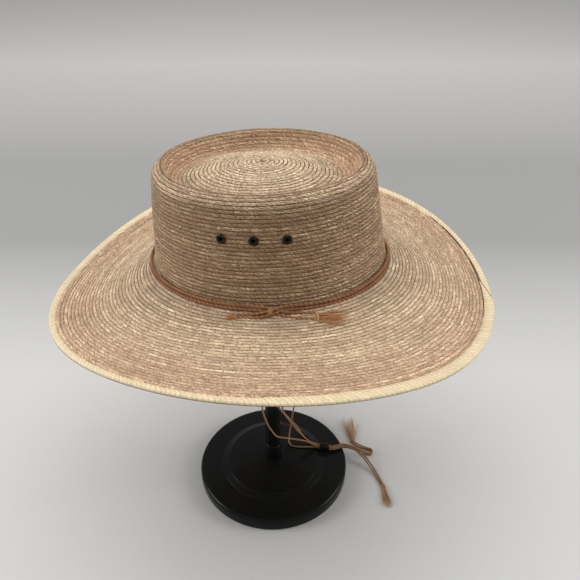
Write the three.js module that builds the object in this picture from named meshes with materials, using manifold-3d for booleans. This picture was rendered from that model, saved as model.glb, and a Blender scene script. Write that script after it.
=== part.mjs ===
// A straw ranch hat with a telescope crown and a wide dipped brim, resting on a plain black hat stand.
// Millimetres, Z up. The origin is on the surface below the middle of the stand's foot.
// The hat's front points to -X and the wearer's left side to -Y.
import * as THREE from 'three';
import { mergeVertices } from 'three/addons/utils/BufferGeometryUtils.js';
import Module from 'manifold-3d';

const wasm = await Module();
wasm.setup();

// Crown
const crownLength = 200;
const crownWidth = 165.5;
const crownTopLength = 179.8;
const crownTopWidth = 152.7;
const crownHeight = 90.8;
const crownWall = 2.4;
const ridgeRadius = 12.3;
const creaseInset = 23;
const creaseDepth = 15.2;
const creaseShift = -2.5;
const crownMiddleHeight = 88;

// Brim, measured outwards from the crown's foot
const brimWidth = 97.2;
const brimWall = 2.2;
const brimDroop = { front: 17.8, back: 20.7, side: 0.1 };
const brimSag = { front: 9.5, back: 1.8, side: 5.6 };
const footRise = 2.2;
const footReach = 8;
const edgeWidth = 8;
const edgeThickness = 3;

// Eyelets through the crown's side
const eyeletsPerSide = 3;
const eyeletSpacing = 15;
const eyeletBackTurn = 5.2;
const eyeletHeight = 59.5;
const eyeletBore = 3.6;
const eyeletBarrel = 5;
const eyeletFlange = 7.4;
const eyeletFlangeThickness = 0.9;

// Hatband
const bandCord = 2.1;
const bandKnotTurn = 10.5;
const bandKnotLength = 6.5;
const bandTassel = { length: 20, spread: 12, headLength: 2.6 };
const bandFray = { length: 8, spread: 6, headLength: 2 };

// Chin cord
const chinCord = 2;
const sliderLength = 10;
const sliderDiameter = 8.6;
const sliderBore = 6;
const sliderCentre = [56, 12.7, 20.3];
const sliderTilt = 12;
const anchorSize = [18, 3, 10];
const anchorRise = 1;
const longTassel = { length: 26, spread: 9, headLength: 4 };
const shortTassel = { length: 34, spread: 15, headLength: 4 };

// Stand
const standHeight = 358.7;
const baseDiameter = 159;
const baseRim = 13.9;
const baseRingDiameter = 110;
const baseRingHeight = 15;
const basePlateDiameter = 97;
const basePlateHeight = 18.8;
const baseMiddleHeight = 23;
const collarDiameter = 17.2;
const collarTop = 42;
const poleDiameter = 16;
const capRadius = 62;
const capDiameter = 92;
const capEdge = 4;

// How the hat sits on the stand, in degrees
const hatTurn = -10.1;
const hatRoll = -2.55;
const hatPitch = 0.5;

// Fit and fineness
const gap = 0.3;
const bandGap = 0.5;
const segmentsRound = 44;
const eyeletSides = 10;
const cordSides = 8;
const bandCordPoints = 21;
const stepsPerPoint = 2;

// Free route of each chin cord run, from its anchor through the slider to its end
const chinRoutes = {
  chin_cord_near_1: [
    [-17.4, -76.5, 272], [-14.8, -58.5, 221.5], [-12.1, -40, 169.5], [-9.4, -22, 118.7], [-9.1, -15, 100.9],
    [-7, -11.3, 87.4], [-4.7, -9.9, 77.3], [-0.7, -9.9, 68.6], [4.4, -9.6, 60.1], [10.6, -7, 55.6],
    [18, -3, 50], [34.3, 6, 36.4], [42.3, 9.2, 28.6], [46.95, 11.55, 23.4], [50.86, 11.55, 22.56],
    [61.62, 11.55, 20.28], [65.5, 11.55, 19.44], [70.8, 13.6, 18.5], [77.6, 16.3, 17.6], [86.3, 14.4, 16.2],
    [96.2, 10.9, 10.4], [103.6, 2.5, 5.9], [109.3, -5.6, 2.7], [113, -15, 1.35], [116.9, -26.3, 1.35],
  ],
  chin_cord_near_2: [
    [-9.6, -77.7, 272.6], [-5.1, -55.2, 217.5], [-0.5, -32.7, 162.3], [3.1, -14.9, 118.6], [4, -10.6, 107.4],
    [8.4, -8.6, 98], [12.9, -5.6, 87.3], [19, -1, 71.8], [25.5, 3.2, 56.3], [33.3, 8.6, 39.8],
    [41.2, 12.2, 27.6], [46.95, 13.85, 23.4], [50.86, 13.85, 22.56], [61.62, 13.85, 20.28], [65.5, 13.85, 19.44],
    [70.8, 16, 18.5], [77.6, 18.7, 17.6], [86.9, 16.8, 16.2], [97.9, 12.9, 10.3], [105.8, 4.3, 5.8],
    [111.5, -4.6, 2.7], [115.4, -14.6, 1.35], [119.2, -25.8, 1.35],
  ],
  chin_cord_far_1: [
    [17.6, 76.3, 274.8], [19.2, 62.2, 204.8], [20.8, 48.1, 134.6], [22.4, 34, 64.4], [20.8, 30.2, 52],
    [18.9, 26.4, 38.4], [17, 21.8, 25.4], [17.1, 17.1, 22.8], [19.4, 12.4, 22.9], [24, 10.7, 22.6],
    [34, 11, 21.7], [46.47, 11.55, 21.16], [50.38, 11.55, 20.32], [61.14, 11.55, 18.04], [65.05, 11.55, 17.2],
    [70.4, 13.6, 16.2], [77.6, 16.3, 15.2], [84.5, 17.2, 13.1], [92, 17.6, 9.1], [100, 17.4, 4.4],
    [106, 17, 1.9], [110.2, 18.4, 1.35], [111.4, 21.1, 1.35], [110.2, 23.8, 1.35], [106, 25.6, 1.35],
    [97.5, 29.2, 1.35], [88.6, 37.4, 1.35],
  ],
  chin_cord_far_2: [
    [9.8, 77.7, 274.4], [9.6, 76.5, 190], [9.3, 75.3, 105], [8.9, 74, 40], [9, 73.4, 24.5],
    [9.8, 71.3, 17.6], [12, 67.8, 15.8], [16.5, 61, 16], [22, 52, 17.2], [25.5, 45, 19.2],
    [29.6, 34.4, 20.7], [35.6, 24, 21], [41.5, 17.4, 21.3], [46.47, 13.85, 21.16], [50.38, 13.85, 20.32],
    [61.14, 13.85, 18.04], [65.05, 13.85, 17.2], [70.4, 16, 16.2], [77.6, 18.7, 15.2], [84.5, 19.8, 14.2],
    [92, 19.2, 11.4], [100.2, 18, 6.9], [106.3, 17.2, 4.3], [110.4, 18.4, 3.7], [111.6, 21.1, 3.7],
    [110.4, 23.9, 3.7], [106, 25.8, 3.7], [98.6, 30, 3.4], [90.5, 38.8, 1.35],
  ],
};

// Tails of the hatband on the brim: degrees round the crown from the back, distance out, and height above the straw
const bandTails = {
  hatband_tail_left_1: [[-82.2, 4.1, 3.7], [-84.5, 4, 2.9], [-87.5, 4, 1.8], [-91.5, 4.1, 1.5], [-96, 4.8, 1.5]],
  hatband_tail_left_2: [[-82.2, 5, 1.5], [-84.5, 6, 1.5], [-87.5, 6.5, 1.5], [-91.5, 6.6, 1.5], [-95.8, 7.2, 1.5]],
  hatband_tail_right_1: [[-76.8, 4.1, 3.7], [-74.5, 4.2, 2.9], [-71.5, 4.4, 1.8], [-66.5, 5.8, 1.5], [-60, 9, 1.5]],
  hatband_tail_right_2: [[-76.8, 5, 1.5], [-74.5, 6.3, 1.5], [-71.5, 6.9, 1.5], [-66.9, 8.4, 1.5], [-60.8, 11.4, 1.5]],
};

// Crown top from the ridge in to the crease: shares of that distance and of the crease's depth
const ridgeToCrease = [
  { inward: 0.42, down: 0.2 },
  { inward: 0.78, down: 0.66 },
  { inward: 1, down: 1 },
];

// Crown middle: share of the crease oval's size and share of the rise from the crease to the middle
const creaseToMiddle = [
  { reach: 0.84, up: 0.22 },
  { reach: 0.6, up: 0.6 },
  { reach: 0.3, up: 0.9 },
];

// Brim sections: shares of the straw's width
const brimSections = [0, 0.07, 0.28, 0.52, 0.76, 1];

// Colours and finishes
const finishes = {
  straw: { color: 0xc09c74, roughness: 0.8, metalness: 0 },
  edgeStraw: { color: 0xe0cda2, roughness: 0.8, metalness: 0 },
  bandCord: { color: 0xa9673a, roughness: 0.85, metalness: 0 },
  chinCord: { color: 0xb0845c, roughness: 0.85, metalness: 0 },
  darkMetal: { color: 0x2a2725, roughness: 0.45, metalness: 0.8 },
  slider: { color: 0x101010, roughness: 0.5, metalness: 0 },
  tab: { color: 0x8a6b4c, roughness: 0.9, metalness: 0 },
  blackPlastic: { color: 0x0c0c0d, roughness: 0.25, metalness: 0 },
};

const radians = THREE.MathUtils.degToRad;

function piece(name, geometry, finish) {
  const mesh = new THREE.Mesh(geometry, new THREE.MeshStandardMaterial(finishes[finish]));
  mesh.name = name;
  return mesh;
}

// Solid from closed rows of points; each row joins the next, and both ends close on a single point or on each other
function loft(rows, joinEnds) {
  const points = rows.flat();
  const starts = [];
  let count = 0;
  for (const row of rows) {
    starts.push(count);
    count += row.length;
  }
  const faces = [];
  const joins = joinEnds ? rows.length : rows.length - 1;
  for (let r = 0; r < joins; r++) {
    const here = rows[r];
    const next = rows[(r + 1) % rows.length];
    const h = starts[r];
    const n = starts[(r + 1) % rows.length];
    const around = Math.max(here.length, next.length);
    for (let i = 0; i < around; i++) {
      const j = (i + 1) % around;
      if (here.length === 1) {
        faces.push(h, n + j, n + i);
      } else if (next.length === 1) {
        faces.push(h + i, h + j, n);
      } else {
        faces.push(h + i, h + j, n + j, h + i, n + j, n + i);
      }
    }
  }
  const geometry = new THREE.BufferGeometry();
  geometry.setAttribute('position', new THREE.Float32BufferAttribute(points.flatMap((p) => [p.x, p.y, p.z]), 3));
  geometry.setIndex(faces);
  return geometry;
}

function toSolid(geometry) {
  const bare = geometry.clone();
  bare.deleteAttribute('normal');
  bare.deleteAttribute('uv');
  const merged = mergeVertices(bare, 1e-4);
  return new wasm.Manifold(new wasm.Mesh({
    numProp: 3,
    vertProperties: new Float32Array(merged.attributes.position.array),
    triVerts: new Uint32Array(merged.index.array),
  }));
}

function toGeometry(solid) {
  const mesh = solid.getMesh();
  const geometry = new THREE.BufferGeometry();
  geometry.setAttribute('position', new THREE.Float32BufferAttribute(mesh.vertProperties, 3));
  geometry.setIndex(new THREE.Uint32BufferAttribute(mesh.triVerts, 1));
  return geometry;
}

// A curve whose steps follow its chosen points, so bends get the finer steps
class Route extends THREE.CatmullRomCurve3 {
  getUtoTmapping(u) {
    return u;
  }
}

function tube(points, diameter) {
  const corners = [];
  for (let i = 0; i < cordSides; i++) {
    const turn = (2 * Math.PI * i) / cordSides;
    corners.push(new THREE.Vector2(Math.cos(turn), Math.sin(turn)).multiplyScalar(diameter / 2));
  }
  return new THREE.ExtrudeGeometry(new THREE.Shape(corners), {
    extrudePath: new Route(points),
    steps: (points.length - 1) * stepsPerPoint,
    bevelEnabled: false,
  });
}

// A value that runs smoothly from the back, at angle 0, over the sides to the front
function aroundHat({ front, back, side }, turn) {
  const ends = (front + back) / 2;
  return side + (ends - side) * (1 + Math.cos(2 * turn)) / 2 + ((back - front) / 2) * Math.cos(turn);
}

function crownFoot(turn) {
  return new THREE.Vector3((crownLength / 2) * Math.cos(turn), (crownWidth / 2) * Math.sin(turn), 0);
}

function crownOutward(turn) {
  return new THREE.Vector3(crownWidth * Math.cos(turn), crownLength * Math.sin(turn), 0).normalize();
}

// Upper face of the brim, a distance out from the crown's foot
function brimTop(turn, out) {
  const outward = crownOutward(turn);
  const direction = Math.atan2(outward.y, outward.x);
  const droop = radians(aroundHat(brimDroop, direction));
  const share = out / brimWidth;
  const foot = footRise * Math.max(0, 1 - out / footReach) ** 2;
  const sag = aroundHat(brimSag, direction) * 4 * share * (1 - share);
  const point = crownFoot(turn).addScaledVector(outward, out * Math.cos(droop));
  point.z = foot - out * Math.sin(droop) - sag;
  return point;
}

// A place above or below the brim's upper face: upright beside the crown, and square to the straw further out
function overBrim(turn, out, above) {
  const step = 0.5;
  const slope = brimTop(turn, out + step).sub(brimTop(turn, out - step)).normalize();
  const outward = crownOutward(turn);
  const run = slope.dot(outward);
  const square = outward.multiplyScalar(-slope.z).add(new THREE.Vector3(0, 0, run));
  const upright = new THREE.Vector3(0, 0, 1);
  const direction = upright.lerp(square, Math.min(1, out / footReach)).normalize();
  return brimTop(turn, out).addScaledVector(direction, above);
}

function turns(count) {
  return Array.from({ length: count }, (_, i) => (2 * Math.PI * i) / count);
}

// Ovals of the crown's outer face from the foot to the middle, with half length, half width, height and shift
function crownOvals() {
  const shoulder = crownHeight - ridgeRadius;
  const topHalf = { a: crownTopLength / 2, b: crownTopWidth / 2 };
  const ovals = [{ a: crownLength / 2, b: crownWidth / 2, z: footRise - brimWall, shift: 0 }];
  for (const degrees of [0, 30, 60, 90]) {
    const inset = ridgeRadius * (1 - Math.cos(radians(degrees)));
    const z = shoulder + ridgeRadius * Math.sin(radians(degrees));
    ovals.push({ a: topHalf.a - inset, b: topHalf.b - inset, z, shift: 0 });
  }
  for (const { inward, down } of ridgeToCrease) {
    const inset = ridgeRadius + (creaseInset - ridgeRadius) * inward;
    const z = crownHeight - creaseDepth * down;
    ovals.push({ a: topHalf.a - inset, b: topHalf.b - inset, z, shift: creaseShift * inward });
  }
  const creaseHeight = crownHeight - creaseDepth;
  for (const { reach, up } of creaseToMiddle) {
    ovals.push({
      a: (topHalf.a - creaseInset) * reach,
      b: (topHalf.b - creaseInset) * reach,
      z: creaseHeight + (crownMiddleHeight - creaseHeight) * up,
      shift: creaseShift * reach,
    });
  }
  ovals.push({ a: 0, b: 0, z: crownMiddleHeight, shift: 0 });
  return ovals;
}

// The same ovals a wall's thickness further in
function innerOvals(ovals) {
  return ovals.map((oval, i) => {
    const before = ovals[Math.max(i - 1, 0)];
    const after = ovals[Math.min(i + 1, ovals.length - 1)];
    const run = (after.a + after.b - before.a - before.b) / 2;
    const rise = after.z - before.z;
    const length = Math.hypot(run, rise);
    const ends = i === 0 || i === ovals.length - 1;
    const inward = i === ovals.length - 1 ? 0 : (crownWall * rise) / length;
    const down = ends ? (i === 0 ? 0 : crownWall) : (-crownWall * run) / length;
    return { a: oval.a - inward, b: oval.b - inward, z: oval.z - down, shift: oval.shift };
  });
}

function ovalRow({ a, b, z, shift }) {
  if (a === 0) return [new THREE.Vector3(shift, 0, z)];
  return turns(segmentsRound).map((t) => new THREE.Vector3(shift + a * Math.cos(t), b * Math.sin(t), z));
}

// Turns of the eyelets round the crown, on one side; the far side mirrors them
function eyeletTurns(side) {
  return Array.from({ length: eyeletsPerSide }, (_, i) => {
    const fromMiddle = (i - (eyeletsPerSide - 1) / 2) * eyeletSpacing + eyeletBackTurn;
    return side * radians(90 - fromMiddle);
  });
}

// Seat of an eyelet: the place on the crown's outer face and the way out of it
function eyeletSeat(turn) {
  const side = crownHeight - ridgeRadius;
  const share = eyeletHeight / side;
  const a = THREE.MathUtils.lerp(crownLength, crownTopLength, share) / 2;
  const b = THREE.MathUtils.lerp(crownWidth, crownTopWidth, share) / 2;
  const place = new THREE.Vector3(a * Math.cos(turn), b * Math.sin(turn), eyeletHeight);
  const outward = new THREE.Vector3(b * Math.cos(turn), a * Math.sin(turn), 0).normalize();
  outward.z = (crownWidth - crownTopWidth) / 2 / side;
  return { place, outward: outward.normalize() };
}

function standAlong(mesh, place, direction) {
  mesh.position.copy(place);
  mesh.quaternion.setFromUnitVectors(new THREE.Vector3(0, 1, 0), direction);
  return mesh;
}

// The crown's side wall, up to the shoulder where the ridge starts to roll over
function makeCrownSide() {
  const outer = crownOvals();
  const inner = innerOvals(outer);
  const rows = [inner[1], inner[0], outer[0], outer[1]].map(ovalRow);
  let side = toSolid(loft(rows, true));
  for (const turn of [...eyeletTurns(-1), ...eyeletTurns(1)]) {
    const { place, outward } = eyeletSeat(turn);
    const drill = new THREE.CylinderGeometry(eyeletBarrel / 2 + gap, eyeletBarrel / 2 + gap, crownWall * 6, eyeletSides);
    const cutter = standAlong(new THREE.Mesh(drill), place, outward);
    cutter.updateMatrix();
    side = side.subtract(toSolid(drill.applyMatrix4(cutter.matrix)));
  }
  return piece('crown', toGeometry(side), 'straw');
}

// The rolled ridge, the crease and the middle, a small gap above the side wall
function makeCrownTop() {
  const outer = crownOvals();
  const inner = innerOvals(outer);
  const fromShoulder = (ovals) => ovals.slice(1).map((oval, i) => (i === 0 ? { ...oval, z: oval.z + gap } : oval));
  const rows = [...fromShoulder(inner).map(ovalRow).reverse(), ...fromShoulder(outer).map(ovalRow)];
  return piece('crown_top', loft(rows, false), 'straw');
}

function makeBrim() {
  const straw = brimWidth - edgeWidth - 2 * gap;
  const row = (share, above) => turns(segmentsRound).map((t) => overBrim(t, gap + straw * share, above));
  const top = brimSections.map((share) => row(share, 0)).reverse();
  const under = brimSections.map((share) => row(share, -brimWall));
  return piece('brim', loft([...under, ...top], true), 'straw');
}

function makeEdgeBraid() {
  const rise = edgeThickness - brimWall;
  const inside = brimWidth - edgeWidth;
  const row = (out, above) => turns(segmentsRound).map((t) => overBrim(t, out, above));
  const section = [
    row(inside, -brimWall),
    row(inside + edgeWidth * 0.85, -brimWall),
    row(brimWidth, -brimWall * 0.4),
    row(inside + edgeWidth * 0.8, rise),
    row(inside + edgeWidth * 0.2, rise),
    row(inside, rise * 0.6),
  ];
  return piece('edge_braid', loft(section, true), 'edgeStraw');
}

// A rolled ring: flange outside, barrel through the wall and a small flare inside, closed on itself
function makeEyelet(name, turn) {
  const bore = eyeletBore / 2;
  const barrel = eyeletBarrel / 2;
  const flange = eyeletFlange / 2;
  const seat = gap + 0.1;
  const inside = -crownWall - 2 * gap;
  const profile = [
    [bore, inside - 0.4], [barrel, inside - 0.4], [barrel, seat], [flange, seat],
    [flange - 0.5, seat + eyeletFlangeThickness], [bore, seat + eyeletFlangeThickness],
  ];
  const points = [...profile, profile[0]].map(([x, y]) => new THREE.Vector2(x, y));
  const { place, outward } = eyeletSeat(turn);
  return standAlong(piece(name, new THREE.LatheGeometry(points, eyeletSides), 'darkMetal'), place, outward);
}

// Middle of the knot, in degrees round the crown, and the turn that its half length takes there
const knotTurn = radians(bandKnotTurn - 90);
const knotHalfTurn = (bandKnotLength / 2 + gap) / ((crownLength / 2) * Math.cos(radians(bandKnotTurn)));

// Cords of the band, stacked against the crown and stopping at the knot
function makeBandCord(name, level) {
  const start = knotTurn + knotHalfTurn;
  const sweep = 2 * (Math.PI - knotHalfTurn);
  const out = bandGap + bandCord / 2;
  const points = Array.from({ length: bandCordPoints }, (_, i) => {
    const turn = start + (sweep * i) / (bandCordPoints - 1);
    const place = crownFoot(turn).addScaledVector(crownOutward(turn), out);
    const uphill = brimTop(turn, out - 1).z - brimTop(turn, out + 1).z;
    const clear = (bandGap + bandCord / 2) * Math.hypot(1, uphill / 2);
    place.z = brimTop(turn, out).z + clear + level * (bandCord + gap);
    return place;
  });
  return piece(name, tube(points, bandCord), 'bandCord');
}

// The knot: the crossed cords under a short wrap, as one lump with flat ends
function makeKnot() {
  const half = bandCord * 1.25;
  const lump = new THREE.CylinderGeometry(half, half, bandKnotLength, 12);
  lump.rotateZ(Math.PI / 2);
  const knot = piece('hatband_knot', lump, 'bandCord');
  knot.position.copy(overBrim(knotTurn, bandGap + half, bandGap + half));
  const outward = crownOutward(knotTurn);
  knot.rotation.z = Math.atan2(outward.y, outward.x) + Math.PI / 2;
  return knot;
}

function makeBandTail(name, route) {
  const points = route.map(([degrees, out, above]) => overBrim(radians(degrees), out, above));
  return piece(name, tube(points, bandCord), 'bandCord');
}

// A frayed end pointing along +X: tapering locks fused to the wrapped head
function makeTassel(name, { length, spread, headLength }, thickness, finish) {
  const head = new THREE.CylinderGeometry(thickness * 0.95, thickness * 0.95, headLength, 8);
  head.rotateZ(-Math.PI / 2);
  head.scale(1, 1, 0.6);
  head.translate(headLength / 2, 0, 0);
  let solid = toSolid(head);
  const locks = 4;
  for (let i = 0; i < locks; i++) {
    const side = i / (locks - 1) - 0.5;
    const reach = length * (1 - 0.35 * Math.abs(side)) - headLength / 2;
    const lock = new THREE.CylinderGeometry(thickness * 0.2, thickness * 0.42, reach, 5);
    lock.rotateZ(-Math.PI / 2);
    lock.translate(reach / 2, 0, 0);
    lock.scale(1, 1, 0.8);
    lock.rotateZ(side * Math.atan2(spread, length));
    lock.translate(headLength / 2, side * thickness, 0);
    solid = solid.add(toSolid(lock));
  }
  return piece(name, toGeometry(solid), finish);
}

// Turns a frayed end so that it lies from one place towards another
function layTassel(tassel, from, to) {
  const forward = to.clone().sub(from).normalize();
  const left = new THREE.Vector3(0, 0, 1).cross(forward).normalize();
  const up = forward.clone().cross(left);
  tassel.quaternion.setFromRotationMatrix(new THREE.Matrix4().makeBasis(forward, left, up));
  tassel.position.copy(from);
  return tassel;
}

// Hidden tab that a pair of chin cord runs is sewn to, against the crown's inner face
function makeAnchor(name, side) {
  const tab = piece(name, new THREE.BoxGeometry(...anchorSize), 'tab');
  const inner = crownWidth / 2 - crownWall - 2 * gap;
  const lean = (crownWidth - crownTopWidth) / 2 / (crownHeight - ridgeRadius);
  tab.position.set(0, side * (inner - lean * anchorSize[2] - anchorSize[1] / 2), anchorRise + anchorSize[2] / 2);
  return tab;
}

function makeSlider() {
  const half = sliderLength / 2;
  const outer = sliderDiameter / 2;
  const bore = sliderBore / 2;
  const profile = [
    [bore, -half], [outer - 0.8, -half], [outer, -half + 0.8], [outer, half - 0.8], [outer - 0.8, half], [bore, half],
  ];
  const points = [...profile, profile[0]].map(([x, y]) => new THREE.Vector2(x, y));
  const slider = piece('chin_slider', new THREE.LatheGeometry(points, 14), 'slider');
  slider.position.set(...sliderCentre);
  slider.rotation.set(0, radians(sliderTilt), -Math.PI / 2);
  return slider;
}

function lathe(name, profile, sides, finish) {
  const points = profile.map(([radius, height]) => new THREE.Vector2(radius, height));
  const geometry = new THREE.LatheGeometry(points, sides);
  geometry.rotateX(Math.PI / 2);
  return piece(name, geometry, finish);
}

function makeStand() {
  const foot = baseDiameter / 2;
  const collar = collarDiameter / 2;
  const pole = poleDiameter / 2;
  const base = [
    [0, 0], [foot - 1, 0], [foot, 1.5], [foot, baseRim - 2], [foot - 1.5, baseRim],
    [baseRingDiameter / 2, baseRingHeight], [basePlateDiameter / 2, basePlateHeight],
    [collar + 2, baseMiddleHeight], [0, baseMiddleHeight],
  ];
  const collarProfile = [
    [0, baseMiddleHeight + gap], [collar, baseMiddleHeight + gap], [collar, collarTop - 0.8], [collar - 0.8, collarTop],
    [0, collarTop],
  ];
  const capHalf = capDiameter / 2;
  const capCentre = standHeight - capRadius;
  const rimAngle = Math.asin(capHalf / capRadius);
  const under = capCentre + capRadius * Math.cos(rimAngle) - capEdge;
  const dome = [];
  for (let i = 0; i <= 4; i++) {
    const angle = rimAngle * (1 - i / 4);
    dome.push([capRadius * Math.sin(angle), capCentre + capRadius * Math.cos(angle)]);
  }
  const cap = [[0, under], [capHalf - 2, under], [capHalf, under + 1.5], ...dome];
  const poleProfile = [[0, collarTop + gap], [pole, collarTop + gap], [pole, under - gap], [0, under - gap]];
  return [
    lathe('stand_base', base, 36, 'blackPlastic'),
    lathe('stand_collar', collarProfile, 20, 'blackPlastic'),
    lathe('stand_pole', poleProfile, 20, 'blackPlastic'),
    lathe('stand_cap', cap, 24, 'blackPlastic'),
  ];
}

function makeHat() {
  const hat = new THREE.Group();
  hat.add(makeCrownSide(), makeCrownTop(), makeBrim(), makeEdgeBraid());
  eyeletTurns(-1).forEach((turn, i) => hat.add(makeEyelet(`eyelet_near_${i + 1}`, turn)));
  eyeletTurns(1).forEach((turn, i) => hat.add(makeEyelet(`eyelet_far_${i + 1}`, turn)));
  hat.add(makeBandCord('hatband_cord_lower', 0), makeBandCord('hatband_cord_upper', 1), makeKnot());
  for (const [name, route] of Object.entries(bandTails)) hat.add(makeBandTail(name, route));
  const onBrim = (degrees, out, above) => overBrim(radians(degrees), out, above);
  hat.add(layTassel(makeTassel('hatband_tassel_right', bandTassel, bandCord, 'bandCord'),
    onBrim(-59.4, 10.8, 1.8), onBrim(-53, 20, 2.2)));
  hat.add(layTassel(makeTassel('hatband_tassel_left', bandFray, bandCord, 'bandCord'),
    onBrim(-96.6, 6.8, 1.7), onBrim(-102, 9, 1.7)));
  hat.add(makeAnchor('cord_anchor_near', -1), makeAnchor('cord_anchor_far', 1));

  // The hat hangs on the stand's cap at the middle of its crown
  hat.rotation.set(radians(hatPitch), radians(hatRoll), radians(hatTurn));
  const up = new THREE.Vector3(0, 0, 1).applyEuler(hat.rotation);
  const capCentre = standHeight - capRadius;
  hat.position.z = capCentre + (capRadius + gap - (crownMiddleHeight - crownWall)) / up.z;
  return hat;
}

function makeChinCord() {
  const pieces = [makeSlider()];
  for (const [name, route] of Object.entries(chinRoutes)) {
    pieces.push(piece(name, tube(route.map((p) => new THREE.Vector3(...p)), chinCord), 'chinCord'));
  }
  const point = (x, y, z) => new THREE.Vector3(x, y, z);
  pieces.push(layTassel(makeTassel('chin_tassel_long', longTassel, chinCord, 'chinCord'),
    point(118.3, -26.8, 1.7), point(121.3, -52.7, 1.9)));
  pieces.push(layTassel(makeTassel('chin_tassel_short', shortTassel, chinCord, 'chinCord'),
    point(89.1, 39.9, 1.7), point(87.2, 75, 1.9)));
  return pieces;
}

const strawHatOnStand = new THREE.Group();
strawHatOnStand.add(makeHat(), ...makeStand(), ...makeChinCord());

export default strawHatOnStand;
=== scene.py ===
import math

import bmesh
import bpy
import numpy as np
from mathutils import Matrix, Vector


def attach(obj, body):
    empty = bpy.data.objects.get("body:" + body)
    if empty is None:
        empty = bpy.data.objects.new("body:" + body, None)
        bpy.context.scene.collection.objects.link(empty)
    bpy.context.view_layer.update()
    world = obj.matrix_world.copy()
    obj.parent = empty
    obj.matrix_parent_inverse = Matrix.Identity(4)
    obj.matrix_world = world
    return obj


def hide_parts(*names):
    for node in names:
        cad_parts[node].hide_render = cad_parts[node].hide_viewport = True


# A straw ranch hat with its band and chin cord on a plain black stand.
# Shapes are worked out in millimetres, the hat's in its own frame, and put down in metres.
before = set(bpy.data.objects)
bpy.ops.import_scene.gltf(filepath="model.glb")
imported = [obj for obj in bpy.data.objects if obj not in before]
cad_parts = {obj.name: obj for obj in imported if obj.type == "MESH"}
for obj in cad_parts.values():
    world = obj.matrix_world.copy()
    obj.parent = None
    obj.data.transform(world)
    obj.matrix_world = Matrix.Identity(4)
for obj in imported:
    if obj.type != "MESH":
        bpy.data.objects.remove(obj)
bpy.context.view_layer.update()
scene = bpy.context.scene
mm = 0.001
print("frame loaded")

# Camera
cameraView = {"place": (0.01799, -0.4637, 0.54659), "downTilt": 33.647, "lens": 38.387, "sensor": 36}


def makeCamera():
    data = bpy.data.cameras.new("camera")
    data.sensor_width = cameraView["sensor"]
    data.lens = cameraView["lens"]
    data.clip_start = 0.01
    data.clip_end = 50
    camera = bpy.data.objects.new("camera", data)
    camera.location = cameraView["place"]
    camera.rotation_euler = (math.radians(90 - cameraView["downTilt"]), 0, 0)
    scene.collection.objects.link(camera)
    scene.camera = camera


makeCamera()


# What all materials share
def addNode(tree, kind, **settings):
    node = tree.nodes.new(kind)
    for key, value in settings.items():
        setattr(node, key, value)
    return node


def plug(tree, socket, value):
    if isinstance(value, bpy.types.NodeSocket):
        tree.links.new(value, socket)
    else:
        socket.default_value = value


def setInputs(tree, inputs, given):
    for label, value in given.items():
        plug(tree, inputs[label], value)


def calc(tree, operation, *values, clamp=False):
    node = addNode(tree, "ShaderNodeMath", operation=operation, use_clamp=clamp)
    for socket, value in zip(node.inputs, values):
        plug(tree, socket, value)
    return node.outputs[0]


def times(tree, first, second):
    return calc(tree, "MULTIPLY", first, second)


def timesPlus(tree, first, second, added):
    return calc(tree, "MULTIPLY_ADD", first, second, added)


def joinVector(tree, x, y, z=0.0):
    node = addNode(tree, "ShaderNodeCombineXYZ")
    for socket, value in zip(node.inputs, (x, y, z)):
        plug(tree, socket, value)
    return node.outputs[0]


def splitVector(tree, vector):
    node = addNode(tree, "ShaderNodeSeparateXYZ")
    plug(tree, node.inputs[0], vector)
    return node.outputs


def objectPlace(tree):
    return addNode(tree, "ShaderNodeTexCoord").outputs["Object"]


def uvMap(tree, name):
    return addNode(tree, "ShaderNodeUVMap", uv_map=name).outputs["UV"]


def remap(tree, value, low, high, toLow=0.0, toHigh=1.0):
    node = addNode(tree, "ShaderNodeMapRange", interpolation_type="SMOOTHSTEP")
    setInputs(tree, node.inputs, {
        "Value": value, "From Min": low, "From Max": high, "To Min": toLow, "To Max": toHigh,
    })
    return node.outputs["Result"]


def noiseOf(tree, vector, scale, detail=2.0, roughness=0.5):
    node = addNode(tree, "ShaderNodeTexNoise")
    setInputs(tree, node.inputs, {"Vector": vector, "Scale": scale, "Detail": detail, "Roughness": roughness})
    return node.outputs["Fac"]


def mixColour(tree, share, first, second, blend="MIX"):
    node = addNode(tree, "ShaderNodeMix", data_type="RGBA", blend_type=blend)
    plug(tree, node.inputs["Factor"], share)
    for socket, value in ((node.inputs[6], first), (node.inputs[7], second)):
        plug(tree, socket, value if isinstance(value, bpy.types.NodeSocket) else (*value, 1))
    return node.outputs[2]


def colourRamp(tree, value, stops):
    node = addNode(tree, "ShaderNodeValToRGB")
    plug(tree, node.inputs["Fac"], value)
    ramp = node.color_ramp
    while len(ramp.elements) < len(stops):
        ramp.elements.new(0.5)
    for element, (place, colour) in zip(ramp.elements, stops):
        element.position = place
        element.color = (*colour, 1)[:4]
    return node.outputs["Color"]


# Multiplies a colour by the stops of a ramp that a mask runs through
def tint(tree, colour, mask, stops):
    return mixColour(tree, 1.0, colour, colourRamp(tree, mask, stops), "MULTIPLY")


def grey(level):
    return (level, level, level)


def startGroup(name, inputs, outputs):
    group = bpy.data.node_groups.new(name, "ShaderNodeTree")
    for label, kind, value in inputs:
        socket = group.interface.new_socket(name=label, in_out="INPUT", socket_type="NodeSocket" + kind)
        if value is not None:
            socket.default_value = value
    for label in outputs:
        group.interface.new_socket(name=label, in_out="OUTPUT", socket_type="NodeSocketFloat")
    return group, addNode(group, "NodeGroupInput").outputs, addNode(group, "NodeGroupOutput").inputs


def useGroup(tree, group, given):
    node = addNode(tree, "ShaderNodeGroup", node_tree=group)
    setInputs(tree, node.inputs, given)
    return node.outputs


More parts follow.
